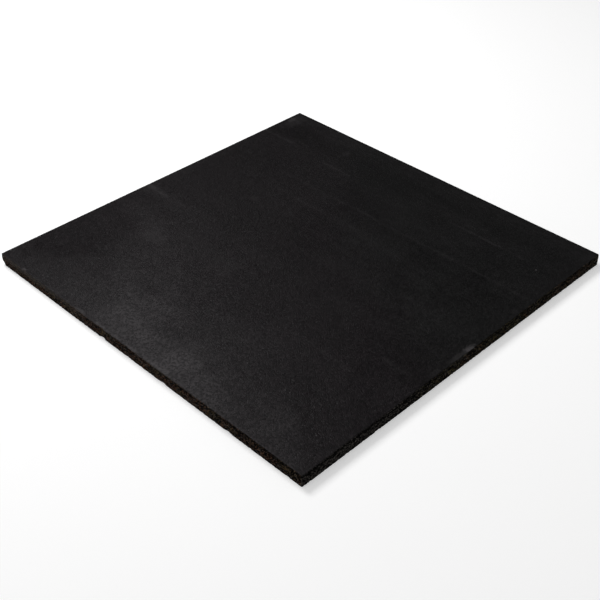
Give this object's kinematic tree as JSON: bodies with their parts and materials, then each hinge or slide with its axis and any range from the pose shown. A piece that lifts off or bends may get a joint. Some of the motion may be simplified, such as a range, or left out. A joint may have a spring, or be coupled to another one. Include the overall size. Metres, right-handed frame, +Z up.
{
  "type": "rubber gym floor tile",
  "caption": "Square slab of pressed black rubber crumb with softly eased edges, laid flat and butted edge to edge as an impact floor.",
  "frame": {"origin": "middle of the underside, on the floor", "axes": "+Z up, out of the walked-on face; X and Y along the tile's edges"},
  "size_m": [1, 1, 0.03],
  "materials": {
    "crumb_rubber": "matt black pressed rubber crumb, closed and faintly pebbled on top, open and browner on the edges"
  },
  "bodies": {
    "root": {"tile_slab": "crumb_rubber"}
  },
  "joints": []
}
